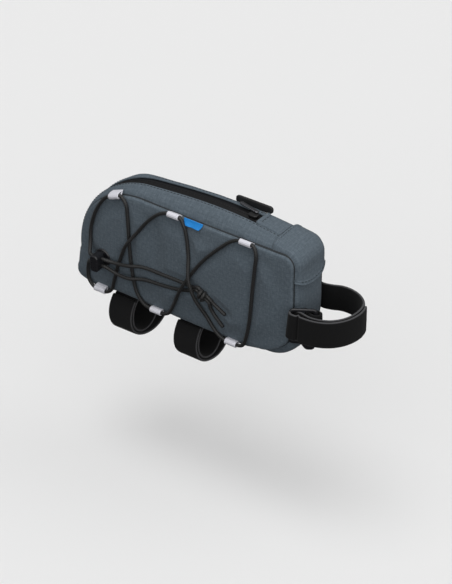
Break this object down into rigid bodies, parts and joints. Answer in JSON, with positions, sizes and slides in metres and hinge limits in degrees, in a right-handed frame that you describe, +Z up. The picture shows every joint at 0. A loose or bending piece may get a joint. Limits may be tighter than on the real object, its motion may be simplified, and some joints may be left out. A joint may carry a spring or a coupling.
{
  "type": "bicycle top tube bag",
  "caption": "Slim zipped cloth bag for a bicycle's top tube, with laced shock cord and a cord lock on one side, strap loops below and a strap loop in front.",
  "frame": {"origin": "middle of the bag's underside, where it sits on the top tube", "axes": "+X to the bag's front, with the steerer strap; -Y to the laced side; +Z up"},
  "size_m": [0.2895, 0.0705, 0.1685],
  "materials": {
    "cloth": "matt heather weave",
    "coated_zip": "satin coated tape",
    "zip_metal": "satin metal",
    "pull_rubber": "satin moulded",
    "pale_tape": "reflective woven tape",
    "blue_tape": "bare woven tape",
    "shock_cord": "braided sheath",
    "black_plastic": "moulded, slightly glossy",
    "strap": "hook-and-loop pile"
  },
  "bodies": {
    "bag": {"side_panel_near": "cloth", "side_panel_far": "cloth", "zip_strip_near": "cloth", "zip_strip_far": "cloth", "zip_tape": "coated_zip", "base_gusset": "cloth", "zip_end_patch": "cloth", "hood": "cloth", "zip_slider": "zip_metal", "zip_tab": "zip_metal", "zip_pull": "pull_rubber", "loop_top_1": "pale_tape", "loop_top_2": "pale_tape", "loop_top_3": "pale_tape", "loop_bottom_1": "pale_tape", "loop_bottom_2": "pale_tape", "loop_bottom_3": "pale_tape", "lacing_cord": "shock_cord", "cord_tail_upper": "shock_cord", "cord_tail_lower": "shock_cord", "cord_end_upper": "shock_cord", "cord_end_lower": "shock_cord", "cord_knot": "shock_cord", "cord_lock_body": "black_plastic", "side_tab": "blue_tape", "base_strap_rear": "strap", "base_strap_front": "strap", "front_strap": "strap", "ring_anchor": "strap", "strap_ring": "black_plastic"},
    "plunger": {"cord_lock_plunger": "black_plastic"}
  },
  "joints": [
    {"name": "plunger_press", "type": "slide", "parent": "bag", "child": "plunger", "axis": [0, -1, 0], "range_m": [0, 0.0026], "stiffness_N_per_m": 120, "springref_m": -0.0005}
  ]
}
